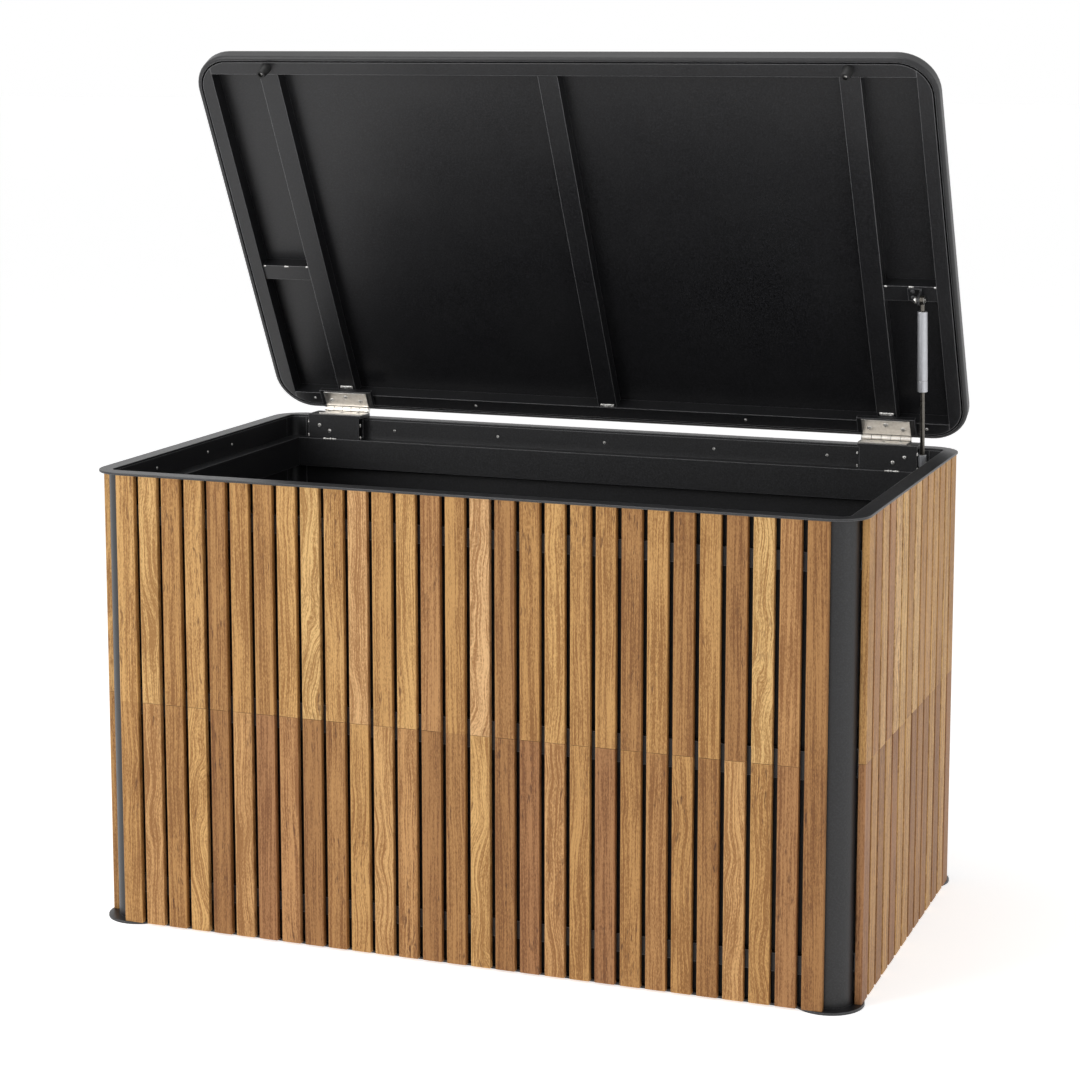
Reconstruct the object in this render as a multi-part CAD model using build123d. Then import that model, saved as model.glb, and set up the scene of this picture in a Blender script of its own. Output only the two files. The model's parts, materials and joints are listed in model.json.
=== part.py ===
from build123d import *
import os
from math import atan2, cos, degrees, hypot, radians, sin

# Deck storage box: a powder-coated frame clad in upright teak slats, with a lid on two
# butt hinges that one gas spring holds open.
# Millimetres. +X is the right side, -Y the front, +Z up. The origin is the middle of the
# base plate's underside. "Depth" below means inwards from the outer faces of the slats.

# Whole box, over the faces of the slats
body_length = 1328
body_depth = 762
slat_height = 775

# Plates, posts and lining
base_thickness = 4
base_overhang = 3
flange_thickness = 4
flange_overhang = 2
plate_edge_radius = 1.2
corner_axis_depth = 54
post_radius = 39
post_wall = 3
liner_thickness = 2
liner_corner_radius = 14

# Teak cladding and the rails behind it
front_slat_count = 29
side_slat_count = 14
slat_margin = 51
slat_thickness = 12
slat_gap = 9
slat_edge_radius = 1.6
slat_butt_gap = 0.6
uncut_front_slats = (0, 14, 28)
rail_depth = 12
rail_height = 30
middle_rail_height = 46
rail_from_slat_end = 52
rail_wall = 1.5

# Inside the box
band_height = 41
inner_rail_width = 24
inner_rail_height = 55
inner_rail_wall = 2
bearer_count = 4
bearer_width = 40
bearer_height = 20
floor_thickness = 3
floor_clearance = 2

# Hinges, centred at hinge_inset from each side
hinge_inset = 135
hinge_axis_depth = 10
hinge_width = 88
leaf_reach = 36
leaf_thickness = 2.5
leaf_screw_side = 30
leaf_screw_reach = 18
leaf_middle_screw_reach = 26
knuckle_count = 5
knuckle_radius = 5.5
knuckle_gap = 0.8
pin_radius = 3
pin_clearance = 0.05
pin_head_radius = 5
pin_head_height = 1.5
bracket_width = 105
bracket_shift = 12
bracket_wall = 3
bracket_rise = 6
bracket_screw_insets = (23, 44)
bracket_screw_stagger = 5
spacer_width = 106
spacer_thickness = 9
spacer_beyond_leaf = 2

# Lid, described closed and then swung open
lid_open_angle = 62
lid_side_overhang = 12
lid_front_overhang = 6
lid_rear_reach = 9
lid_height = 30
lid_corner_radius = 70
lid_sheet = 2
lid_top_edge_radius = 10
lid_lower_edge_radius = 6
lid_lip = 8
lid_tube_gap = 3
lid_tube_width = 24
lid_tube_wall = 1.5
crossbar_width = 36
crossbar_recess = 3
short_bar_width = 30
short_bar_from_rear = 309

# Rubber bumpers under the lid's front tube
bumper_depth = 16
bumper_radius = 9.5
bumper_tip_radius = 7.5
bumper_clearance = 0.3
bumper_recess = 5
bumper_recess_clearance = 0.6

# Screws
screw_head_radius = 3.8
rim_screw_head_radius = 2.7
leaf_screw_head_radius = 4.6
screw_head_height = 1.6
screw_shank_radius = 2.2
screw_slot_share = 0.55
screw_slot_width = 1.3
screw_slot_depth = 1.1
rim_screw_count = 5

# Gas spring, between a ball stud on the right lining and an ear under the right short bar
spring_depth = 45
stud_forward = 116
stud_below_axis = 22.5
eye_drop = 16
ball_radius = 5
ball_clearance = 0.1
stud_neck_radius = 2.6
stud_hole_radius = 3.6
stud_plate_length = 34
stud_plate_height = 18
stud_plate_thickness = 2.5
stud_plate_drop = 12.6
socket_radius = 7
socket_length = 15
socket_edge_radius = 2.8
rod_radius = 4
cylinder_radius = 9
cylinder_wall = 1.2
cylinder_edge_radius = 1.5
cylinder_end_wall = 3
groove_from_end = 19
groove_width = 1.4
groove_depth = 0.5
cylinder_to_eye = 19
rod_reserve = 10
piston_length = 12
cap_length = 9
sliding_clearance = 0.05
eye_radius = 8
eye_thickness = 8
eye_neck_overlap = 3.2
eye_pin_radius = 4
eye_rivet_height = 2
ear_thickness = 2.5
ear_gap = 0.5
ear_radius = 9
ear_foot_reach = 22
ear_foot_half = 12
ear_boss_radius = 5
ear_boss_height = 3
ear_screw_reach = 13
ear_screw_half_spacing = 6

# Levels and places that follow from the sizes above
slat_top = base_thickness + slat_height
flange_top = slat_top + flange_thickness
half_length = body_length / 2
half_depth = body_depth / 2
liner_outer = slat_thickness + rail_depth
liner_inner = liner_outer + liner_thickness
inner_rail_top = flange_top - band_height
inner_rail_inner = liner_inner + inner_rail_width
bracket_top = flange_top + bracket_rise
hinge_y = half_depth - hinge_axis_depth
hinge_z = bracket_top + knuckle_radius
hinge_x = half_length - hinge_inset
lid_underside = hinge_z + knuckle_radius + spacer_thickness
lid_top = lid_underside + lid_height
lid_half_length = half_length + lid_side_overhang
lid_rear = hinge_y + lid_rear_reach
lid_front = -half_depth - lid_front_overhang
lid_tube_outer = lid_lip + lid_tube_gap
lid_tube_inner = lid_tube_outer + lid_tube_width
lid_tube_top = lid_top - lid_sheet
short_bar_y = lid_rear - short_bar_from_rear
spring_x = half_length - spring_depth
CORNER_TURNS = {"front_left": 0, "front_right": 90, "rear_right": 180, "rear_left": 270}


def block(x0, x1, y0, y1, z0, z1):
    """A box between two corners."""
    centre = Pos((x0 + x1) / 2, (y0 + y1) / 2, (z0 + z1) / 2)
    return centre * Box(x1 - x0, y1 - y0, z1 - z0)


def round_bar(radius, x0, x1, y=0, z=0):
    """A cylinder along X."""
    return Pos((x0 + x1) / 2, y, z) * Rot(Y=90) * Cylinder(radius, x1 - x0)


def upright(radius, z0, z1, x=0, y=0):
    """A cylinder along Z."""
    return Pos(x, y, (z0 + z1) / 2) * Cylinder(radius, z1 - z0)


def rounded_prism(x0, x1, y0, y1, z0, z1, radius):
    """An upright prism on a rectangle with round corners."""
    outline = RectangleRounded(x1 - x0, y1 - y0, radius)
    return Pos((x0 + x1) / 2, (y0 + y1) / 2, z0) * extrude(outline, z1 - z0)


def body_prism(depth, z0, z1):
    """The box's rounded plan, moved inwards by a depth."""
    x = half_length - depth
    y = half_depth - depth
    return rounded_prism(-x, x, -y, y, z0, z1, corner_axis_depth - depth)


def lining_prism(depth, z0, z1):
    """The lining's plan at a depth, with its own tighter corners."""
    x = half_length - depth
    y = half_depth - depth
    return rounded_prism(-x, x, -y, y, z0, z1, liner_corner_radius + liner_inner - depth)


def lid_prism(depth, z0, z1):
    """The lid's rounded plan, moved inwards by a depth."""
    x = lid_half_length - depth
    return rounded_prism(-x, x, lid_front + depth, lid_rear - depth, z0, z1, lid_corner_radius - depth)


def tube_along_x(x0, x1, y0, y1, z0, z1, wall):
    hollow = block(x0, x1, y0 + wall, y1 - wall, z0 + wall, z1 - wall)
    return block(x0, x1, y0, y1, z0, z1) - hollow


def tube_along_y(x0, x1, y0, y1, z0, z1, wall):
    hollow = block(x0 + wall, x1 - wall, y0, y1, z0 + wall, z1 - wall)
    return block(x0, x1, y0, y1, z0, z1) - hollow


def screw(shank_length, head_radius=screw_head_radius):
    """A domed screw: the head stands on z=0 and the shank goes down."""
    dome_radius = (head_radius**2 + screw_head_height**2) / (2 * screw_head_height)
    dome = Pos(0, 0, screw_head_height - dome_radius) * Sphere(dome_radius)
    head = dome & upright(head_radius, 0, screw_head_height)
    reach = head_radius * screw_slot_share
    half_width = screw_slot_width / 2
    slot_floor = screw_head_height - screw_slot_depth
    slot = block(-reach, reach, -half_width, half_width, slot_floor, 2 * screw_head_height)
    head = head - slot - Rot(Z=90) * slot
    return head + upright(screw_shank_radius, -shank_length, 0) if shank_length else head


def opened(shape):
    """Swing a closed-lid shape up to the open angle."""
    return shape.rotate(Axis((0, hinge_y, hinge_z), (-1, 0, 0)), lid_open_angle)


def save(name, *shapes):
    """Write one node, as a group when it has several solids."""
    solids = [solid for shape in shapes for solid in shape.solids()]
    whole = solids[0] if len(solids) == 1 else Compound(children=solids)
    export_step(whole, f"parts/{name}.step")


# ---------------------------------------------------------------- plates, posts, lining


def base_plate():
    """A plate under the rails and posts, with a round foot that shows at each corner."""
    plate = body_prism(slat_thickness, 0, base_thickness)
    for corner in CORNER_TURNS:
        plate += at_corner(upright(corner_axis_depth + base_overhang, 0, base_thickness), corner)
    return fillet(plate.faces().sort_by(Axis.Z)[-1].edges(), plate_edge_radius)


def top_flange():
    plate = body_prism(-flange_overhang, slat_top, flange_top)
    outer_edges = plate.faces().sort_by(Axis.Z)[-1].edges() + plate.faces().sort_by(Axis.Z)[0].edges()
    plate = fillet(outer_edges, plate_edge_radius)
    return plate - lining_prism(liner_inner, slat_top - 1, flange_top + 1)


def at_corner(shape, corner):
    """Turn a front-left shape drawn about its corner axis into any corner's place."""
    x = half_length - corner_axis_depth
    y = half_depth - corner_axis_depth
    x = -x if "left" in corner else x
    y = -y if "front" in corner else y
    return Pos(x, y, 0) * Rot(Z=CORNER_TURNS[corner]) * shape


def corner_post():
    """A quarter-round shell with two lips that reach back to the lining."""
    inner_radius = post_radius - post_wall
    liner_radius = corner_axis_depth - liner_outer
    ring = Circle(post_radius) - Circle(inner_radius)
    quarter = ring & Pos(-post_radius / 2, -post_radius / 2) * Rectangle(post_radius, post_radius)
    lip_length = post_radius - post_wall / 2 - liner_radius
    lip = Pos(-liner_radius - lip_length / 2, -post_wall / 2) * Rectangle(lip_length, post_wall)
    other = Pos(-post_wall / 2, -liner_radius - lip_length / 2) * Rectangle(post_wall, lip_length)
    return Pos(0, 0, base_thickness) * extrude(quarter + lip + other, slat_height)


def liner_corners():
    """The lining's four folded corners, between its flat panels."""
    outer = lining_prism(liner_outer, base_thickness, slat_top)
    ring = outer - lining_prism(liner_inner, base_thickness, slat_top)
    x = half_length - corner_axis_depth
    y = half_depth - corner_axis_depth
    ring -= block(-x, x, -half_depth, half_depth, 0, flange_top)
    return ring - block(-half_length, half_length, -y, y, 0, flange_top)


def band_screw_places():
    """Screws through the band above the inner rails: (x, y, turn about Z)."""
    z = (inner_rail_top + slat_top) / 2
    reach = hinge_x - bracket_width
    places = []
    for i in range(rim_screw_count):
        x = -reach + 2 * reach * i / (rim_screw_count - 1)
        places.append(Location((x, half_depth - liner_inner, z), (90, 0, 0)))
        places.append(Location((x, -half_depth + liner_inner, z), (-90, 0, 0)))
    for y in (-half_depth / 2, 0, half_depth / 4):
        places.append(Location((half_length - liner_inner, y, z), (0, -90, 0)))
        places.append(Location((-half_length + liner_inner, y, z), (0, 90, 0)))
    return places


def liner_panels():
    """The four flat lining sheets, with their screw holes."""
    x = half_length - corner_axis_depth
    y = half_depth - corner_axis_depth
    long_outer, long_inner = half_depth - liner_outer, half_depth - liner_inner
    short_outer, short_inner = half_length - liner_outer, half_length - liner_inner
    panels = {
        "front_liner": block(-x, x, -long_outer, -long_inner, base_thickness, slat_top),
        "rear_liner": block(-x, x, long_inner, long_outer, base_thickness, slat_top),
        "left_liner": block(-short_outer, -short_inner, -y, y, base_thickness, slat_top),
        "right_liner": block(short_inner, short_outer, -y, y, base_thickness, slat_top),
    }
    holes = [place * upright(screw_shank_radius, -2 * liner_thickness, 1) for place in band_screw_places()]
    return {name: panel - holes for name, panel in panels.items()}


# ---------------------------------------------------------------- cladding


def slat_row(span, count, uncut):
    """Slats side by side, centred on X=0, with their faces on Y=0 and their backs towards +Y."""
    usable = span - 2 * slat_margin
    pitch = (usable + slat_gap) / count
    width = pitch - slat_gap
    outline = RectangleRounded(width, slat_thickness, slat_edge_radius)
    half_height = (slat_height - slat_butt_gap) / 2
    whole = extrude(outline, slat_height)
    piece = extrude(outline, half_height)
    slats = []
    for i in range(count):
        x = -usable / 2 + width / 2 + i * pitch
        y = slat_thickness / 2
        if i in uncut:
            slats.append(Pos(x, y, base_thickness) * whole)
            continue
        slats.append(Pos(x, y, base_thickness) * piece)
        slats.append(Pos(x, y, base_thickness + half_height + slat_butt_gap) * piece)
    return slats


def rail_row(span):
    """Bottom, middle and top rails behind a row of slats."""
    reach = span / 2 - corner_axis_depth
    bottom = base_thickness + rail_from_slat_end
    middle = base_thickness + (slat_height - middle_rail_height) / 2
    top = slat_top - rail_from_slat_end - rail_height
    levels = ((bottom, rail_height), (middle, middle_rail_height), (top, rail_height))
    return [
        tube_along_x(-reach, reach, slat_thickness, liner_outer, z, z + height, rail_wall)
        for z, height in levels
    ]


def save_walls():
    walls = {
        "front": (body_length, front_slat_count, uncut_front_slats, Pos(0, -half_depth, 0)),
        "rear": (body_length, front_slat_count, (), Pos(0, half_depth, 0) * Rot(Z=180)),
        "left": (body_depth, side_slat_count, (), Pos(-half_length, 0, 0) * Rot(Z=-90)),
        "right": (body_depth, side_slat_count, (), Pos(half_length, 0, 0) * Rot(Z=90)),
    }
    for side, (span, count, uncut, place) in walls.items():
        save(f"{side}_slats", *[place * slat for slat in slat_row(span, count, uncut)])
        save(f"{side}_rails", *[place * rail for rail in rail_row(span)])


# ---------------------------------------------------------------- inside


def inner_rails():
    """Four box rails round the inside, which the hinge brackets stand on."""
    z0 = inner_rail_top - inner_rail_height
    x = half_length - liner_inner
    y = half_depth - liner_inner
    w = inner_rail_width
    room = lining_prism(liner_inner, z0 - 1, inner_rail_top + 1)
    wall = inner_rail_wall
    return {
        "inner_rail_front": tube_along_x(-x, x, -y, -y + w, z0, inner_rail_top, wall) & room,
        "inner_rail_rear": tube_along_x(-x, x, y - w, y, z0, inner_rail_top, wall) & room,
        "inner_rail_left": tube_along_y(-x, -x + w, -y + w, y - w, z0, inner_rail_top, wall) & room,
        "inner_rail_right": tube_along_y(x - w, x, -y + w, y - w, z0, inner_rail_top, wall) & room,
    }


def floor_bearers():
    reach = half_depth - liner_inner - floor_clearance
    spacing = (body_length - 2 * corner_axis_depth - bearer_width) / (bearer_count - 1)
    first = -spacing * (bearer_count - 1) / 2
    top = base_thickness + bearer_height
    bars = []
    for i in range(bearer_count):
        x = first + i * spacing
        x0 = x - bearer_width / 2
        bars.append(tube_along_y(x0, x0 + bearer_width, -reach, reach, base_thickness, top, rail_wall))
    return bars


def floor_panel():
    z = base_thickness + bearer_height
    return lining_prism(liner_inner + floor_clearance, z, z + floor_thickness)


# ---------------------------------------------------------------- hinges


def knuckle_spans():
    """The X span of each knuckle about the middle of a hinge."""
    length = (hinge_width - (knuckle_count - 1) * knuckle_gap) / knuckle_count
    starts = [-hinge_width / 2 + i * (length + knuckle_gap) for i in range(knuckle_count)]
    return [(start, start + length) for start in starts]


def leaf_screw_places():
    """Screw points on a leaf: the middle one stands further from the pin."""
    side = leaf_screw_side
    return [(-side, -leaf_screw_reach), (0, -leaf_middle_screw_reach), (side, -leaf_screw_reach)]


def lower_leaf():
    """The leaf under the pin, about the pin's axis, with the outer and middle knuckles."""
    top = -knuckle_radius + leaf_thickness
    leaf = block(-hinge_width / 2, hinge_width / 2, -leaf_reach, 0, -knuckle_radius, top)
    return with_knuckles(leaf, 0)


def upper_leaf():
    """The same plate turned over, with the other two knuckles."""
    bottom = knuckle_radius - leaf_thickness
    leaf = block(-hinge_width / 2, hinge_width / 2, -leaf_reach, 0, bottom, knuckle_radius)
    return with_knuckles(leaf, 1)


def with_knuckles(leaf, own):
    """Add a leaf's own knuckles, clear the other leaf's, and bore for the pin and screws."""
    for i, (x0, x1) in enumerate(knuckle_spans()):
        if i % 2 == own:
            leaf += round_bar(knuckle_radius, x0, x1)
    for i, (x0, x1) in enumerate(knuckle_spans()):
        if i % 2 != own:
            leaf -= round_bar(knuckle_radius + knuckle_gap, x0 - knuckle_gap, x1 + knuckle_gap)
    leaf -= round_bar(pin_radius + pin_clearance, -hinge_width, hinge_width)
    for x, y in leaf_screw_places():
        leaf -= upright(screw_shank_radius, -2 * knuckle_radius, 2 * knuckle_radius, x, y)
    return leaf


def hinge_pin():
    end = hinge_width / 2
    pin = round_bar(pin_radius, -end - pin_head_height, end + pin_head_height)
    head = round_bar(pin_head_radius, end + pin_clearance, end + pin_head_height)
    return pin + head + Rot(Z=180) * head


def lower_leaf_screws():
    top = -knuckle_radius + leaf_thickness
    return [Pos(x, y, top) * screw(leaf_thickness, leaf_screw_head_radius) for x, y in leaf_screw_places()]


def upper_leaf_screws():
    bottom = knuckle_radius - leaf_thickness
    one = Rot(X=180) * screw(leaf_thickness, leaf_screw_head_radius)
    return [Pos(x, y, bottom) * one for x, y in leaf_screw_places()]


def bracket_screw_places(side):
    """Two screws in the bracket's front face, near its outer end."""
    outer_end = hinge_x + bracket_shift + bracket_width / 2
    y = half_depth - inner_rail_inner
    middle = (inner_rail_top + flange_top) / 2
    levels = (middle + bracket_screw_stagger, middle - bracket_screw_stagger)
    places = zip(bracket_screw_insets, levels)
    return [Location((side * (outer_end - inset), y, z), (90, 0, 0)) for inset, z in places]


def hinge_bracket(side):
    """A box that stands on the inner rail, with a shelf that reaches back over the flange."""
    middle = side * (hinge_x + bracket_shift)
    x0 = middle - bracket_width / 2
    x1 = middle + bracket_width / 2
    y0 = half_depth - inner_rail_inner
    y1 = half_depth - liner_inner
    foot = tube_along_x(x0, x1, y0, y1, inner_rail_top, bracket_top, bracket_wall)
    leaf_end = side * hinge_x - side * hinge_width / 2
    shelf_x0 = min(x0, leaf_end)
    shelf_x1 = max(x1, leaf_end)
    shelf_y1 = hinge_y + knuckle_radius
    shelf = block(shelf_x0, shelf_x1, y0, shelf_y1, flange_top, bracket_top)
    holes = [place * upright(screw_shank_radius, -bracket_wall, 1) for place in bracket_screw_places(side)]
    return foot + shelf - holes


def hinge_spacer(side):
    """The block between the upper leaf and the lid's rear tube."""
    x = side * hinge_x
    y1 = hinge_y - knuckle_radius
    y0 = hinge_y - leaf_reach - spacer_beyond_leaf
    return block(x - spacer_width / 2, x + spacer_width / 2, y0, y1, hinge_z + knuckle_radius, lid_underside)


# ---------------------------------------------------------------- lid


def lid_skin():
    """A pan of folded sheet, rounded at both edges, with a narrow lip turned inwards."""
    outer = lid_prism(0, lid_underside, lid_top)
    outer = fillet(outer.faces().sort_by(Axis.Z)[-1].edges(), lid_top_edge_radius)
    outer = fillet(outer.faces().sort_by(Axis.Z)[0].edges(), lid_lower_edge_radius)
    hollow = lid_prism(lid_sheet, lid_underside + lid_sheet, lid_top - lid_sheet)
    hollow = fillet(hollow.faces().sort_by(Axis.Z)[-1].edges(), lid_top_edge_radius - lid_sheet)
    hollow = fillet(hollow.faces().sort_by(Axis.Z)[0].edges(), lid_lower_edge_radius - lid_sheet)
    mouth = lid_prism(lid_lip, lid_underside - 1, lid_underside + 2 * lid_sheet)
    return outer - hollow - mouth


def lid_tubes():
    """The perimeter tubes, trimmed to the lid's round corners."""
    room = lid_prism(lid_tube_outer, lid_underside - 1, lid_top)
    x_out = lid_half_length - lid_tube_outer
    x_in = lid_half_length - lid_tube_inner
    front = lid_front + lid_tube_outer
    rear = lid_rear - lid_tube_outer
    w = lid_tube_width
    z0, z1 = lid_underside, lid_tube_top
    wall = lid_tube_wall
    return {
        "lid_tube_front": tube_along_x(-x_in, x_in, front, front + w, z0, z1, wall) & room,
        "lid_tube_rear": tube_along_x(-x_in, x_in, rear - w, rear, z0, z1, wall) & room,
        "lid_tube_left": tube_along_y(-x_out, -x_in, front, rear, z0, z1, wall) & room,
        "lid_tube_right": tube_along_y(x_in, x_out, front, rear, z0, z1, wall) & room,
    }


def crossbar(x):
    y0 = lid_front + lid_tube_inner
    y1 = lid_rear - lid_tube_inner
    half = crossbar_width / 2
    underside = lid_underside + crossbar_recess
    return tube_along_y(x - half, x + half, y0, y1, underside, lid_tube_top, lid_tube_wall)


def short_bar(side):
    inner_end = hinge_x + crossbar_width / 2
    outer_end = lid_half_length - lid_tube_inner
    x0, x1 = sorted((side * inner_end, side * outer_end))
    y0 = short_bar_y - short_bar_width / 2
    y1 = short_bar_y + short_bar_width / 2
    return tube_along_x(x0, x1, y0, y1, lid_underside + crossbar_recess, lid_tube_top, lid_tube_wall)


def bumper(side):
    """A tapered rubber foot, bored for its screw, that meets the flange when the lid is shut."""
    height = lid_underside - flange_top - bumper_clearance
    place = Pos(side * hinge_x, -half_depth + bumper_depth, lid_underside - height / 2)
    body = Rot(X=180) * Cone(bumper_radius, bumper_tip_radius, height)
    recess = upright(screw_head_radius + bumper_recess_clearance, -height / 2, -height / 2 + bumper_recess)
    return place * (body - recess - upright(screw_shank_radius, -height / 2, height / 2))


def bumper_screw(side):
    """A screw from the bumper's recess up to the lid."""
    z = flange_top + bumper_clearance + bumper_recess
    return Pos(side * hinge_x, -half_depth + bumper_depth, z) * Rot(X=180) * screw(lid_underside - z)


# ---------------------------------------------------------------- gas spring


def turned(y, z, angle):
    """A point about the hinge axis after the lid opens by an angle."""
    a = radians(angle)
    return y * cos(a) + z * sin(a), -y * sin(a) + z * cos(a)


stud_y = hinge_y - stud_forward
stud_z = hinge_z - stud_below_axis
eye_shut = (short_bar_y - hinge_y, lid_underside - eye_drop - hinge_z)
eye_open = turned(*eye_shut, lid_open_angle)
reach_open = (eye_open[0] + stud_forward, eye_open[1] + stud_below_axis)
reach_shut = (eye_shut[0] + stud_forward, eye_shut[1] + stud_below_axis)
spring_open = hypot(*reach_open)
spring_shut = hypot(*reach_shut)
lean_open = degrees(atan2(-reach_open[0], reach_open[1]))
lean_shut = degrees(atan2(-reach_shut[0], reach_shut[1]))
stroke = spring_open - spring_shut
cylinder_start = socket_length + stroke + rod_reserve
cylinder_end = spring_open - cylinder_to_eye


def on_spring(shape):
    """Put a shape drawn up Z from the ball's centre along the extended spring."""
    return Pos(spring_x, stud_y, stud_z) * Rot(X=lean_open) * shape


def ball_stud():
    """A ball on a neck that stands out of a small plate on the right lining."""
    plate_inner = half_length - liner_inner - stud_plate_thickness
    plate = block(
        plate_inner, half_length - liner_inner,
        stud_y - stud_plate_length / 2, stud_y + stud_plate_length / 2,
        stud_z - stud_plate_drop, stud_z - stud_plate_drop + stud_plate_height,
    )
    neck = round_bar(stud_neck_radius, spring_x, plate_inner, stud_y, stud_z)
    return plate + neck + Pos(spring_x, stud_y, stud_z) * Sphere(ball_radius)


def rod_socket():
    shell = upright(socket_radius, -socket_radius, socket_length)
    shell = fillet(shell.edges().sort_by(Axis.Z)[0], socket_edge_radius)
    shell -= Sphere(ball_radius + ball_clearance)
    shell -= round_bar(stud_hole_radius, 0, 2 * socket_radius)
    return on_spring(shell)


def rod():
    top = cylinder_start + cap_length + rod_reserve
    return on_spring(upright(rod_radius, socket_length, top))


def piston():
    z0 = cylinder_start + cap_length + rod_reserve
    radius = cylinder_radius - cylinder_wall - sliding_clearance
    return on_spring(upright(radius, z0, z0 + piston_length))


def cylinder_tube():
    """The silver pressure tube, closed at its upper end."""
    shell = upright(cylinder_radius, cylinder_start, cylinder_end)
    shell = fillet(shell.edges().sort_by(Axis.Z)[-1], cylinder_edge_radius)
    groove_z = cylinder_start + groove_from_end
    ring = upright(cylinder_radius + 1, groove_z, groove_z + groove_width)
    shell -= ring - upright(cylinder_radius - groove_depth, groove_z, groove_z + groove_width)
    bore = upright(cylinder_radius - cylinder_wall, cylinder_start - 1, cylinder_end - cylinder_end_wall)
    return on_spring(shell - bore)


def cylinder_cap():
    """The guide that the rod slides through."""
    cap = upright(cylinder_radius - cylinder_wall, cylinder_start, cylinder_start + cap_length)
    return on_spring(cap - upright(rod_radius + sliding_clearance, 0, spring_open))


def upper_eye():
    """A neck and a flat eye, with its own rivet heads, beside the lid's ear."""
    neck = upright(eye_thickness / 2, cylinder_end, spring_open - eye_radius + eye_neck_overlap)
    eye = round_bar(eye_radius, -eye_thickness / 2, eye_thickness / 2, 0, spring_open)
    rivet = round_bar(eye_pin_radius, 0, eye_thickness / 2 + eye_rivet_height, 0, spring_open)
    return on_spring(neck + eye + rivet)


def spring_ear():
    """An ear under the right short bar, on the inner side of the eye."""
    bar_underside = lid_underside + crossbar_recess
    x1 = spring_x - eye_thickness / 2 - ear_gap
    x0 = x1 - ear_thickness
    pivot_z = lid_underside - eye_drop
    foot_y0, foot_y1 = short_bar_y - ear_foot_half, short_bar_y + ear_foot_half
    foot = block(x0 - ear_foot_reach, x1, foot_y0, foot_y1, bar_underside - ear_thickness, bar_underside)
    ear = block(x0, x1, short_bar_y - ear_radius, short_bar_y + ear_radius, pivot_z, bar_underside)
    ear += round_bar(ear_radius, x0, x1, short_bar_y, pivot_z)
    boss = round_bar(ear_boss_radius, x0 - ear_boss_height, x0, short_bar_y, pivot_z)
    return foot + ear + boss


def spring_ear_screws():
    bar_underside = lid_underside + crossbar_recess - ear_thickness
    x = spring_x - eye_thickness / 2 - ear_gap - ear_thickness - ear_screw_reach
    spacing = (-ear_screw_half_spacing, ear_screw_half_spacing)
    places = [Pos(x, short_bar_y + y, bar_underside) for y in spacing]
    return [place * Rot(X=180) * screw(0) for place in places]


# ---------------------------------------------------------------- write every node

os.makedirs("parts", exist_ok=True)

save("base_plate", base_plate())
save("top_flange", top_flange())
for corner in CORNER_TURNS:
    save(f"corner_post_{corner}", at_corner(corner_post(), corner))
save("liner_corners", liner_corners())
for name, panel in liner_panels().items():
    save(name, panel)
save_walls()
save("rim_screws", *[place * screw(liner_thickness, rim_screw_head_radius) for place in band_screw_places()])
for name, rail in inner_rails().items():
    save(name, rail)
save("floor_bearers", *floor_bearers())
save("floor_panel", floor_panel())

for side_name, side in (("left", -1), ("right", 1)):
    hinge_place = Pos(side * hinge_x, hinge_y, hinge_z)
    save(f"hinge_bracket_{side_name}", hinge_bracket(side))
    save(f"lower_leaf_{side_name}", hinge_place * lower_leaf())
    save(f"upper_leaf_{side_name}", opened(hinge_place * upper_leaf()))
    save(f"hinge_spacer_{side_name}", opened(hinge_spacer(side)))
    save(f"short_bar_{side_name}", opened(short_bar(side)))
    save(f"crossbar_{side_name}", opened(crossbar(side * hinge_x)))

both = [Pos(side * hinge_x, hinge_y, hinge_z) for side in (-1, 1)]
save("lower_leaf_screws", *[place * one for place in both for one in lower_leaf_screws()])
save("upper_leaf_screws", *[opened(place * one) for place in both for one in upper_leaf_screws()])
bracket_places = bracket_screw_places(-1) + bracket_screw_places(1)
save("bracket_screws", *[place * screw(bracket_wall) for place in bracket_places])
save("hinge_pins", *[place * hinge_pin() for place in both])
save("lid_bumpers", *[opened(bumper(side)) for side in (-1, 1)])
save("bumper_screws", *[opened(bumper_screw(side)) for side in (-1, 1)])

save("lid_skin", opened(lid_skin()))
for name, tube in lid_tubes().items():
    save(name, opened(tube))
save("crossbar_middle", opened(crossbar(0)))

save("ball_stud", ball_stud())
save("rod_socket", rod_socket())
save("spring_rod", rod())
save("spring_piston", piston())
save("spring_cylinder", cylinder_tube())
save("spring_cap", cylinder_cap())
save("spring_eye", upper_eye())
save("spring_ear", opened(spring_ear()))
save("spring_ear_screws", *[opened(one) for one in spring_ear_screws()])

print("hinge axis y, z:", hinge_y, hinge_z)
print("ball stud x, y, z:", spring_x, stud_y, stud_z)
print("spring length open, shut, stroke:", round(spring_open, 3), round(spring_shut, 3), round(stroke, 3))
print("spring lean open, shut:", round(lean_open, 3), round(lean_shut, 3))
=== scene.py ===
import bmesh
import bpy
import json
import math
import random
from mathutils import Matrix, Vector


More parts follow.
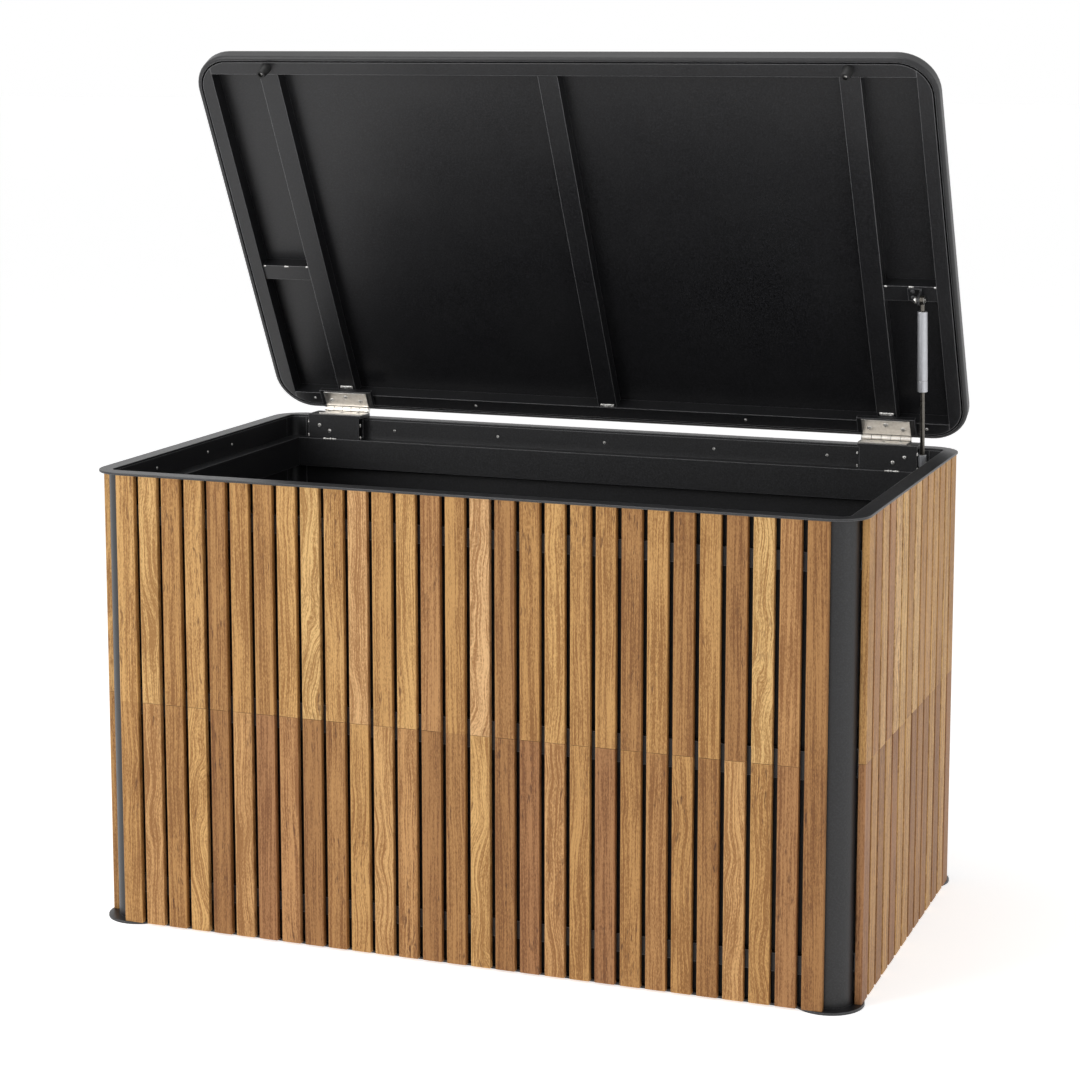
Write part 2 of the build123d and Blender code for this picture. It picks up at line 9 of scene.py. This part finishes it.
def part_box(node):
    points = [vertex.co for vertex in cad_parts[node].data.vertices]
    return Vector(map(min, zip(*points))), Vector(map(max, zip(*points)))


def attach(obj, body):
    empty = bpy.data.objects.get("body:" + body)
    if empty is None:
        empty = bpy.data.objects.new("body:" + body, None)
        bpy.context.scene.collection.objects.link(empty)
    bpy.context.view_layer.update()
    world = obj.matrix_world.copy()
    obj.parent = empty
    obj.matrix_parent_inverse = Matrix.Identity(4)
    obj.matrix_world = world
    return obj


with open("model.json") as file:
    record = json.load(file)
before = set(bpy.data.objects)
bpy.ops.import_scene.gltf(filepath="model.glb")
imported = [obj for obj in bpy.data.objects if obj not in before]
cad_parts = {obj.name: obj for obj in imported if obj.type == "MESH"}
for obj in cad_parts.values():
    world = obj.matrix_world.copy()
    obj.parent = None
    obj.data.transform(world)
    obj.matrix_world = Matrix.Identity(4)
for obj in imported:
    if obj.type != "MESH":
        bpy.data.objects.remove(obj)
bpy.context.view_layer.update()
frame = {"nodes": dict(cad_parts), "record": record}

# Deck storage box: teak slats on a black powder-coated frame, with a lid on two hinges.
# Metres, in the CAD model's frame: +X right, -Y front, +Z up.

NODES = frame["nodes"]
SCENE = bpy.context.scene

# ------------------------------------------------------------------ node helpers


class Nodes:
    """Short ways to add and join shader nodes in one material."""

    def __init__(self, name):
        self.material = bpy.data.materials.new(name)
        self.material.use_nodes = True
        self.tree = self.material.node_tree
        self.shader = self.tree.nodes["Principled BSDF"]

    def add(self, kind, inputs=None, **settings):
        node = self.tree.nodes.new("ShaderNode" + kind)
        for key, value in settings.items():
            setattr(node, key, value)
        for key, value in (inputs or {}).items():
            self.put(node.inputs[key], value)
        return node

    def put(self, socket, value):
        if isinstance(value, bpy.types.NodeSocket):
            self.tree.links.new(value, socket)
        else:
            socket.default_value = value

    def maths(self, operation, a, b=0.0, c=0.0):
        node = self.add("Math", operation=operation)
        for socket, value in zip(node.inputs, (a, b, c)):
            self.put(socket, value)
        return node.outputs[0]

    def mix(self, factor, a, b, blend="MIX"):
        node = self.add("Mix", data_type="RGBA", blend_type=blend)
        self.put(node.inputs["Factor"], factor)
        self.put(node.inputs["A"], a)
        self.put(node.inputs["B"], b)
        return node.outputs["Result"]

    def ramp(self, factor, stops):
        """A colour ramp from (position, colour or grey) stops."""
        node = self.add("ValToRGB")
        elements = node.color_ramp.elements
        while len(elements) < len(stops):
            elements.new(0.5)
        for element, (position, colour) in zip(elements, stops):
            element.position = position
            grey = isinstance(colour, (int, float))
            element.color = (colour, colour, colour, 1) if grey else (*colour, 1)
        self.put(node.inputs["Fac"], factor)
        return node.outputs["Color"]

    def noise(self, vector, scale, detail=2.0, roughness=0.5, distortion=0.0):
        inputs = {
            "Vector": vector, "Scale": scale, "Detail": detail,
            "Roughness": roughness, "Distortion": distortion,
        }
        return self.add("TexNoise", inputs).outputs["Fac"]

    def stretched(self, vector, scale):
        """Multiply a vector by (x, y, z)."""
        node = self.add("VectorMath", {0: vector, 1: scale}, operation="MULTIPLY")
        return node.outputs[0]

    def place(self):
        """The point in the CAD model's frame."""
        return self.add("TexCoord").outputs["Object"]

    def bump(self, height, strength, distance, normal=None):
        """Relief on the surface, over a rounded normal if one is given."""
        node = self.add("Bump", {"Height": height, "Strength": strength, "Distance": distance})
        if normal is not None:
            self.put(node.inputs["Normal"], normal)
        self.put(self.shader.inputs["Normal"], node.outputs[0])

    def round_edges(self, radius):
        """(a normal rounded at the edges, how near an edge the point is)."""
        normal = self.add("Bevel", {"Radius": radius}, samples=4).outputs[0]
        flat = self.add("NewGeometry").outputs["Normal"]
        turn = self.add("VectorMath", {0: normal, 1: flat}, operation="DOT_PRODUCT")
        return normal, self.ramp(turn.outputs["Value"], [(0.80, 1.0), (0.995, 0.0)])

    def set(self, **inputs):
        """Set the shader's own sockets, named with _ for a space."""
        for key, value in inputs.items():
            self.put(self.shader.inputs[key.replace("_", " ")], value)


# ------------------------------------------------------------------ materials


def teak(name, along, start, pitch, seed):
    """Teak slats: each has its own colour, grain and offset, found from its place in the row.

    along is the axis the row runs along (0 for X, 1 for Y), start its low end in metres.
    """
    m = Nodes(name)
    place = m.place()
    split = m.add("SeparateXYZ", {0: place})
    across = split.outputs[along]
    thick = split.outputs[1 - along]
    z = split.outputs[2]
    index = m.maths("FLOOR", m.maths("DIVIDE", m.maths("SUBTRACT", across, start), pitch))
    upper = m.maths("GREATER_THAN", z, SLAT_JOINT_Z)
    half = m.maths("MULTIPLY", upper, m.maths("SUBTRACT", 1.0, uncut(m, index, seed)))
    key = m.add("CombineXYZ", {"X": index, "Y": m.maths("MULTIPLY", half, 7.3), "Z": seed})
    chance = m.add("TexWhiteNoise", {"Vector": key.outputs[0]}, noise_dimensions="3D")
    tone = chance.outputs["Value"]
    shuffle = m.add("SeparateColor", {0: chance.outputs["Color"]})
    figure, slope, shade = (shuffle.outputs[i] for i in range(3))

    # board coordinates: across and through the board in metres, and shifted along it
    middle = m.maths("SUBTRACT", across, m.maths("MULTIPLY", m.maths("ADD", index, 0.42), pitch))
    lean = m.maths("MULTIPLY", m.maths("SUBTRACT", slope, 0.5), GRAIN_LEAN)
    shifted = m.maths("ADD", middle, m.maths("MULTIPLY", tone, BOARD_SHIFT_ACROSS))
    board_x = m.maths("ADD", shifted, m.maths("MULTIPLY", z, lean))
    board_z = m.maths("ADD", z, m.maths("MULTIPLY", figure, BOARD_SHIFT_ALONG))
    board = m.add("CombineXYZ", {"X": board_x, "Y": thick, "Z": board_z}).outputs[0]

    # slow waves bend the grain, as in boards cut near the heart
    sway = m.noise(m.stretched(board, (9.0, 9.0, 4.5)), 1.0, 2.0)
    bend = m.maths("MULTIPLY_ADD", m.maths("POWER", figure, 3.0), 0.120, 0.006)
    sway = m.maths("MULTIPLY", m.maths("SUBTRACT", sway, 0.5), bend)
    bent = m.add("CombineXYZ", {"X": m.maths("ADD", board_x, sway), "Y": thick, "Z": board_z}).outputs[0]

    bands = m.noise(m.stretched(bent, (170.0, 80.0, 1.3)), 1.0, 4.0, 0.68, 0.2)
    fleck = m.noise(m.stretched(bent, (620.0, 620.0, 190.0)), 1.0, 2.0, 0.7)
    fibre = m.noise(m.stretched(bent, (430.0, 430.0, 9.0)), 1.0, 2.0, 0.6)
    clouds = m.noise(m.stretched(bent, (16.0, 16.0, 5.0)), 1.0, 3.0, 0.55)
    dashes = m.noise(m.stretched(bent, (330.0, 330.0, 48.0)), 1.0, 1.0, 0.5)
    patch = m.noise(m.stretched(board, (20.0, 20.0, 6.0)), 1.0, 1.0, 0.5)
    ring_inputs = {
        "Vector": m.stretched(bent, (1.0, 0.6, 0.035)), "Scale": 34.0,
        "Distortion": 7.0, "Detail": 2.0, "Detail Scale": 1.4,
    }
    rings = m.add("TexWave", ring_inputs, wave_type="BANDS", bands_direction="X", wave_profile="SAW")

    # the board's own colour, a darker one for its grain and a brighter one between
    lower = m.maths("SUBTRACT", 1.0, upper)
    tone = m.maths("SUBTRACT", tone, m.maths("MULTIPLY", lower, LOWER_BOARD_SHADE))
    light = m.ramp(tone, [(0.0, TEAK_BROWN), (0.3, TEAK_AMBER), (0.65, TEAK_HONEY), (1.0, TEAK_PALE)])
    rosy = m.mix(1.0, light, TEAK_ROSE, "MULTIPLY")
    light = m.mix(m.ramp(shade, [(0.55, 0.0), (1.0, 0.65)]), light, rosy)
    bright = m.mix(1.0, light, TEAK_BRIGHT, "MULTIPLY")
    dark = m.mix(1.0, light, TEAK_GRAIN, "MULTIPLY")
    level = GRAIN_LEVEL
    for pattern, strength in ((bands, 3.1), (fleck, 2.7), (fibre, 2.7), (clouds, 1.5)):
        level = m.maths("MULTIPLY_ADD", m.maths("SUBTRACT", pattern, 0.5), strength, level)
    ring_line = m.ramp(rings.outputs["Fac"], [(0.0, 0.0), (0.72, 0.12), (0.93, 1.0), (1.0, 0.2)])
    ring_share = m.maths("MULTIPLY", ring_line, m.ramp(figure, [(0.35, 0.10), (0.85, 0.50)]))
    level = m.add("Clamp", {"Value": m.maths("SUBTRACT", level, ring_share)}).outputs[0]
    colour = m.mix(level, dark, bright)

    # open pores in patches, and a painted highlight that makes the slats' edges paler
    pore_line = m.ramp(dashes, [(0.30, 0.9), (0.40, 0.0)])
    pore = m.maths("MULTIPLY", pore_line, m.ramp(patch, [(0.52, 0.08), (0.64, 1.0)]))
    colour = m.mix(pore, colour, m.mix(1.0, colour, TEAK_PORE, "MULTIPLY"))
    # painted highlight: the colour made paler near the slats' edges
    edge_highlight = m.maths("MULTIPLY", m.round_edges(SLAT_HIGHLIGHT_WIDTH)[1], 0.75)
    colour = m.mix(edge_highlight, colour, m.mix(1.0, light, TEAK_EDGE_HIGHLIGHT, "MULTIPLY"))

    rough = m.maths("MULTIPLY_ADD", fibre, 0.25, 0.42)
    m.set(Base_Color=colour, Roughness=rough, Specular_IOR_Level=0.35)
    relief = m.maths("ADD", m.maths("MULTIPLY", fleck, 0.5), m.maths("MULTIPLY", fibre, 0.8))
    m.bump(m.maths("SUBTRACT", relief, pore), 0.45, 0.0008, m.round_edges(SLAT_EDGE_RADIUS)[0])
    return m.material


def uncut(m, index, seed):
    """1 on the front slats that run the full height in one length, else 0."""
    if seed != FRONT_SEED:
        return 0.0
    found = None
    for number in UNCUT_FRONT_SLATS:
        same = m.maths("COMPARE", index, float(number), 0.4)
        found = same if found is None else m.maths("MAXIMUM", found, same)
    return found


def powder_coat(name, colour):
    """Black powder coat: a mottled fine texture with a slight sparkle, and a painted highlight along its
    edges.
    """
    m = Nodes(name)
    place = m.place()
    mottle = m.noise(place, 330.0, 2.0, 0.7)
    grain = m.noise(place, 1300.0, 1.0, 0.5)
    dust = m.noise(place, 7.0, 3.0, 0.5)
    texture = m.maths("ADD", m.maths("MULTIPLY", mottle, 0.6), m.maths("MULTIPLY", grain, 0.4))
    speck = m.ramp(texture, [(0.36, 0.35), (0.50, 1.0), (0.66, 2.6)])
    tint = m.mix(1.0, colour, speck, "MULTIPLY")
    tint = m.mix(m.ramp(dust, [(0.40, 0.0), (0.75, 0.35)]), tint, COAT_DUST)
    round_edge, edge = m.round_edges(COAT_EDGE_RADIUS)
    # painted highlight: the coat made paler along its edges
    tint = m.mix(m.maths("MULTIPLY", edge, 0.85), tint, COAT_EDGE_HIGHLIGHT)
    rough = m.maths("MULTIPLY_ADD", mottle, 0.24, COAT_ROUGHNESS)
    m.set(Base_Color=tint, Roughness=rough, Specular_IOR_Level=0.5)
    m.bump(m.maths("ADD", mottle, m.maths("MULTIPLY", grain, 0.3)), 0.30, 0.0006, round_edge)
    return m.material


def brushed(name, colour, roughness, stretch, strength=0.25, stained=0.6):
    """Bare metal: fine brush lines along one direction, faint stains, painted highlights on the edges,
    painted shade in crevices.
    """
    m = Nodes(name)
    place = m.place()
    lines = m.noise(m.stretched(place, stretch), 1.0, 3.0, 0.6)
    smudge = m.noise(place, 60.0, 3.0, 0.55)
    stain = m.noise(place, 180.0, 2.0, 0.6)
    round_edge, edge = m.round_edges(METAL_EDGE_RADIUS)
    dull = m.mix(1.0, colour, METAL_DULL, "MULTIPLY")
    tint = m.mix(m.ramp(lines, [(0.3, 0.45), (0.7, 0.0)]), colour, dull)
    tint = m.mix(m.ramp(stain, [(0.42, 0.0), (0.66, stained)]), tint, dull)
    # painted highlight: the metal made paler along its edges
    tint = m.mix(m.maths("MULTIPLY", edge, 0.8), tint, METAL_EDGE_HIGHLIGHT)
    # painted shade: darker where nearby surfaces close the point in, as in screw slots and knuckle gaps
    open_share = m.add("AmbientOcclusion", {"Distance": CREVICE_REACH}, samples=8).outputs["AO"]
    tint = m.mix(m.ramp(open_share, [(0.35, 0.92), (0.85, 0.0)]), tint, CREVICE_SHADE)
    rough = m.maths("MULTIPLY_ADD", lines, 0.20, roughness - 0.08)
    rough = m.maths("MULTIPLY_ADD", smudge, 0.14, rough)
    m.set(Base_Color=tint, Metallic=1.0, Roughness=rough)
    m.bump(lines, strength, 0.0002, round_edge)
    return m.material


def rubber(name):
    """Matt black rubber with a fine skin and a little dust."""
    m = Nodes(name)
    place = m.place()
    skin = m.noise(place, 1400.0, 2.0)
    dust = m.noise(place, 140.0, 3.0, 0.6)
    tint = m.mix(m.ramp(dust, [(0.45, 0.0), (0.75, 0.6)]), RUBBER_BLACK, RUBBER_DUST)
    rough = m.maths("MULTIPLY_ADD", skin, 0.2, 0.5)
    m.set(Base_Color=tint, Roughness=rough, Specular_IOR_Level=0.4)
    m.bump(skin, 0.3, 0.0003)
    return m.material


def floor_paint(name):
    """A pale sweep that glows a little, so it meets the white surround without a line."""
    m = Nodes(name)
    mottle = m.noise(m.place(), 3.0, 3.0)
    m.set(Base_Color=m.ramp(mottle, [(0.3, 0.83), (0.7, 0.85)]), Roughness=0.8)
    m.set(Emission_Color=(1, 1, 1, 1), Emission_Strength=FLOOR_GLOW, Specular_IOR_Level=0.1)
    return m.material


TEAK_PALE = (0.630, 0.388, 0.148)
TEAK_HONEY = (0.545, 0.305, 0.104)
TEAK_AMBER = (0.435, 0.224, 0.070)
TEAK_BROWN = (0.320, 0.150, 0.047)
# paler colour for the slats' edges, a painted highlight
TEAK_EDGE_HIGHLIGHT = (1.42, 1.50, 1.62, 1)
TEAK_ROSE = (1.02, 0.98, 1.30, 1)
TEAK_BRIGHT = (1.18, 1.22, 1.27, 1)
TEAK_GRAIN = (0.58, 0.475, 0.35, 1)
TEAK_PORE = (0.38, 0.31, 0.26, 1)
LOWER_BOARD_SHADE = 0.26
GRAIN_LEVEL = 0.56
GRAIN_LEAN = 0.030
BOARD_SHIFT_ACROSS = 37.0
BOARD_SHIFT_ALONG = 19.0
SLAT_EDGE_RADIUS = 0.0018
# how far the painted edge highlight reaches in from the slats' edges
SLAT_HIGHLIGHT_WIDTH = 0.0036

BLACK_COAT = (0.0080, 0.0080, 0.0092, 1)
COAT_DUST = (0.020, 0.020, 0.021, 1)
# paler colour along the coat's edges, a painted highlight
COAT_EDGE_HIGHLIGHT = (0.300, 0.300, 0.310, 1)
COAT_EDGE_RADIUS = 0.0021
COAT_ROUGHNESS = 0.28

STAINLESS = (0.86, 0.825, 0.775, 1)
FASTENER_STEEL = (0.80, 0.79, 0.77, 1)
SATIN_SILVER = (0.50, 0.51, 0.54, 1)
DARK_ROD = (0.15, 0.14, 0.125, 1)
WELD_METAL = (0.90, 0.89, 0.87, 1)
METAL_DULL = (0.66, 0.64, 0.61, 1)
# paler colour along bare metal edges, a painted highlight
METAL_EDGE_HIGHLIGHT = (0.98, 0.97, 0.95, 1)
METAL_EDGE_RADIUS = 0.0010
# dark colour painted into crevices as shade, looking as far as CREVICE_REACH for nearby surfaces
CREVICE_SHADE = (0.030, 0.027, 0.024, 1)
CREVICE_REACH = 0.0022

RUBBER_BLACK = (0.012, 0.012, 0.012, 1)
RUBBER_DUST = (0.035, 0.034, 0.033, 1)
FLOOR_GLOW = 0.66

FRONT_SLATS = 29
SIDE_SLATS = 14
UNCUT_FRONT_SLATS = (0, 14, 28)
FRONT_SEED, REAR_SEED, LEFT_SEED, RIGHT_SEED = 1.0, 2.0, 3.0, 4.0
slat_low, slat_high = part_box("front_slats")
side_low, side_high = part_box("right_slats")
SLAT_JOINT_Z = (slat_low.z + slat_high.z) / 2
SLAT_GAP = 0.009
FRONT_PITCH = (slat_high.x - slat_low.x + SLAT_GAP) / FRONT_SLATS
SIDE_PITCH = (side_high.y - side_low.y + SLAT_GAP) / SIDE_SLATS
FRONT_START = slat_low.x - SLAT_GAP / 2
SIDE_START = side_low.y - SLAT_GAP / 2

MATERIALS = {
    "front_teak": teak("front_teak", 0, FRONT_START, FRONT_PITCH, FRONT_SEED),
    "rear_teak": teak("rear_teak", 0, FRONT_START, FRONT_PITCH, REAR_SEED),
    "left_teak": teak("left_teak", 1, SIDE_START, SIDE_PITCH, LEFT_SEED),
    "right_teak": teak("right_teak", 1, SIDE_START, SIDE_PITCH, RIGHT_SEED),
    "coat": powder_coat("black_powder_coat", BLACK_COAT),
    "stainless": brushed("brushed_stainless", STAINLESS, 0.24, (18.0, 1500.0, 1500.0), 0.2, 0.35),
    "fastener": brushed("bright_fastener", FASTENER_STEEL, 0.22, (900.0, 900.0, 900.0), 0.12),
    "silver": brushed("satin_silver", SATIN_SILVER, 0.34, (1200.0, 1200.0, 25.0), 0.05, 0.15),
    "rod": brushed("dark_piston_rod", DARK_ROD, 0.18, (1500.0, 1500.0, 12.0), 0.08),
    "rubber": rubber("black_rubber"),
    "weld": brushed("bare_weld", WELD_METAL, 0.42, (700.0, 700.0, 700.0), 0.5),
}


def cad_material(node):
    """The material of a CAD node, from its name and its record slot."""
    if node.endswith("_slats"):
        return MATERIALS[node.replace("_slats", "_teak")]
    return MATERIALS[SLOT_MATERIALS[SLOTS[node]]]


SLOTS = {part["node"]: part["material_slot"] for part in frame["record"]["subparts"]}
SLOT_MATERIALS = {
    "powder_coat": "coat",
    "stainless": "stainless",
    "screw_steel": "fastener",
    "silver": "silver",
    "rod_steel": "rod",
    "rubber": "rubber",
}
for node, part in NODES.items():
    part.data.materials.clear()
    part.data.materials.append(cad_material(node))

# ------------------------------------------------------------------ welds, rivets and a pin head

LID_OPEN_ANGLE = 62
pin_low, pin_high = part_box("hinge_pins")
HINGE_AXIS = Vector((0, (pin_low.y + pin_high.y) / 2, (pin_low.z + pin_high.z) / 2))
LID_SWING = Matrix.Rotation(math.radians(-LID_OPEN_ANGLE), 4, "X")
LID_OPEN = Matrix.Translation(HINGE_AXIS) @ LID_SWING @ Matrix.Translation(-HINGE_AXIS)

WELD_RADIUS = 0.0021
TACK_RADIUS = 0.0016
RIVET_PLACES = (-0.600, -0.265, 0.265, 0.600)
RIVET_SIZE = (0.0026, 0.0026, 0.0012, 1)
PIN_ABOVE_EAR_TIP = 0.009
PIN_HEAD_REACH = 0.0075
PIN_HEAD_SIZE = (0.0045, 0.0062, 0.0062, 1)


def add_piece(name, edit, material, body):
    """Turn a bmesh into a smooth piece that rides on a body."""
    mesh = bpy.data.meshes.new(name)
    edit.to_mesh(mesh)
    edit.free()
    mesh.polygons.foreach_set("use_smooth", [True] * len(mesh.polygons))
    mesh.materials.append(MATERIALS[material])
    piece = bpy.data.objects.new(name, mesh)
    SCENE.collection.objects.link(piece)
    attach(piece, body)


def add_ball(edit, place, segments, rings):
    """A unit sphere, placed and shaped by a matrix."""
    bmesh.ops.create_uvsphere(edit, u_segments=segments, v_segments=rings, radius=1.0, matrix=place)


def weld_bead(edit, start, end, radius, draw, place=Matrix.Identity(4)):
    """A run of overlapping flattened puddles from start to end."""
    count = max(3, round((end - start).length / (radius * 0.9)))
    along = (end - start).normalized()
    for i in range(count):
        centre = start.lerp(end, (i + draw.uniform(0.2, 0.8)) / count)
        size = radius * draw.uniform(0.75, 1.25)
        turn = along.to_track_quat("X", "Z").to_matrix().to_4x4()
        shape = Matrix.Diagonal((size * 0.9, size, size * draw.uniform(0.7, 1.0), 1))
        add_ball(edit, place @ Matrix.Translation(centre) @ turn @ shape, 14, 9)


def add_welds():
    """Bare welds: at the crossbars' rear ends, the short bars' ends and the brackets' feet."""
    draw = random.Random(7)
    rear = lid_box("lid_tube_rear")[0].y
    for name in ("left", "middle", "right"):
        low, high = lid_box("crossbar_" + name)
        root = rear if name == "middle" else lid_box("hinge_spacer_" + name)[0].y
        bead = bmesh.new()
        inset = (high.x - low.x) * 0.16
        for row in range(2):
            depth = root - 0.0016 - row * 0.0026
            start = Vector((low.x + inset, depth, low.z - 0.0006))
            end = Vector((high.x - inset, depth, low.z - 0.0006))
            weld_bead(bead, start, end, WELD_RADIUS, draw, LID_OPEN)
        add_piece("crossbar_weld_" + name, bead, "weld", "lid")
    for name in ("left", "right"):
        low, high = lid_box("short_bar_" + name)
        bead = bmesh.new()
        front = low.y + 0.001
        for share, length in ((0.03, 0.004), (0.48, 0.009), (0.95, 0.005)):
            start = Vector((low.x + (high.x - low.x) * share, front, low.z))
            weld_bead(bead, start, start + Vector((length, 0, 0)), TACK_RADIUS, draw, LID_OPEN)
        add_piece("short_bar_weld_" + name, bead, "weld", "lid")
    rail_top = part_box("inner_rail_rear")[1].z
    for name in ("left", "right"):
        low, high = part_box("hinge_bracket_" + name)
        outer, inner, inward = (low.x, high.x, 1) if name == "left" else (high.x, low.x, -1)
        bead = bmesh.new()
        foot = Vector((outer + inward * 0.032, low.y, rail_top))
        weld_bead(bead, foot, foot + Vector((inward * 0.026, 0, 0)), WELD_RADIUS, draw)
        for corner, height in ((outer, 0.004), (outer, 0.030), (inner, 0.003), (inner, 0.026)):
            tack = Vector((corner, low.y + 0.001, rail_top + height))
            weld_bead(bead, tack, tack + Vector((0, 0, 0.005)), TACK_RADIUS, draw)
        add_piece("bracket_weld_" + name, bead, "weld", "box")


def lid_box(node):
    """A lid node's corners as they are with the lid shut."""
    shut = LID_OPEN.inverted()
    points = [shut @ v.co for v in NODES[node].data.vertices]
    low = Vector([min(p[i] for p in points) for i in range(3)])
    high = Vector([max(p[i] for p in points) for i in range(3)])
    return low, high


def add_rivets():
    """Small domed rivets through the lid's rear tube."""
    low, high = lid_box("lid_tube_rear")
    middle = (low.y + high.y) / 2
    rivets = bmesh.new()
    for x in RIVET_PLACES:
        place = Matrix.Translation((x, middle, low.z)) @ Matrix.Diagonal(RIVET_SIZE)
        add_ball(rivets, LID_OPEN @ place, 16, 10)
    add_piece("lid_rivets", rivets, "fastener", "lid")


def add_pin_head():
    """The bright round head of the gas spring's upper pin, on the inner side of the ear."""
    low, high = lid_box("spring_ear")
    centre = (high.x - PIN_HEAD_REACH, (low.y + high.y) / 2, low.z + PIN_ABOVE_EAR_TIP)
    head = bmesh.new()
    add_ball(head, LID_OPEN @ Matrix.Translation(centre) @ Matrix.Diagonal(PIN_HEAD_SIZE), 20, 12)
    add_piece("spring_pin_head", head, "fastener", "lid")


add_welds()
add_rivets()
add_pin_head()

# ------------------------------------------------------------------ camera, light, floor

CAMERA_PLACE = Vector((1.5514, -4.1674, 1.4970))
CAMERA_YAW = math.radians(20.363)
CAMERA_PITCH = math.radians(8.051)
CAMERA_LENS = 86.81
CAMERA_SHIFT = -0.12
SENSOR = 36.0
FLOOR_HALF = 60.0
SURROUND_LIGHT = 0.36


def add_camera():
    """The camera, at the photograph's viewing angle."""
    data = bpy.data.cameras.new("camera")
    data.sensor_width = SENSOR
    data.lens = CAMERA_LENS
    data.shift_y = CAMERA_SHIFT
    camera = bpy.data.objects.new("camera", data)
    camera.location = CAMERA_PLACE
    camera.rotation_euler = (math.radians(90) - CAMERA_PITCH, 0, CAMERA_YAW)
    SCENE.collection.objects.link(camera)
    SCENE.camera = camera


def add_floor():
    """A pale floor that runs far out of view."""
    mesh = bpy.data.meshes.new("floor")
    edit = bmesh.new()
    bmesh.ops.create_grid(edit, x_segments=8, y_segments=8, size=FLOOR_HALF)
    edit.to_mesh(mesh)
    edit.free()
    floor = bpy.data.objects.new("floor", mesh)
    mesh.materials.append(floor_paint("pale_floor"))
    SCENE.collection.objects.link(floor)


def add_light(name, place, target, size, power):
    """A white area light that faces a target."""
    data = bpy.data.lights.new(name, "AREA")
    data.shape = "RECTANGLE"
    data.size, data.size_y = size
    data.energy = power
    light = bpy.data.objects.new(name, data)
    light.location = place
    light.rotation_euler = (Vector(target) - Vector(place)).to_track_quat("-Z", "Y").to_euler()
    SCENE.collection.objects.link(light)


def add_world():
    """A white surround that lights matt surfaces more weakly than it is seen."""
    world = bpy.data.worlds.new("studio")
    world.use_nodes = True
    nodes, link = world.node_tree.nodes, world.node_tree.links.new
    lighting = nodes["Background"]
    seen = nodes.new("ShaderNodeBackground")
    for background, strength in ((lighting, SURROUND_LIGHT), (seen, 1.0)):
        background.inputs["Color"].default_value = (1, 1, 1, 1)
        background.inputs["Strength"].default_value = strength
    choice = nodes.new("ShaderNodeMixShader")
    link(nodes.new("ShaderNodeLightPath").outputs["Is Diffuse Ray"], choice.inputs[0])
    link(seen.outputs[0], choice.inputs[1])
    link(lighting.outputs[0], choice.inputs[2])
    link(choice.outputs[0], nodes["World Output"].inputs["Surface"])
    SCENE.world = world


add_camera()
add_floor()
add_world()
add_light("key", (-2.9, -4.2, 2.6), (0, -0.3, 0.5), (1.8, 2.4), 92)
add_light("fill", (4.2, -1.6, 1.6), (0.3, 0, 0.5), (1.6, 2.0), 18)
add_light("top", (-0.6, -0.4, 4.6), (0, 0.1, 0.8), (3.0, 2.0), 45)
SCENE.view_settings.view_transform = "Standard"
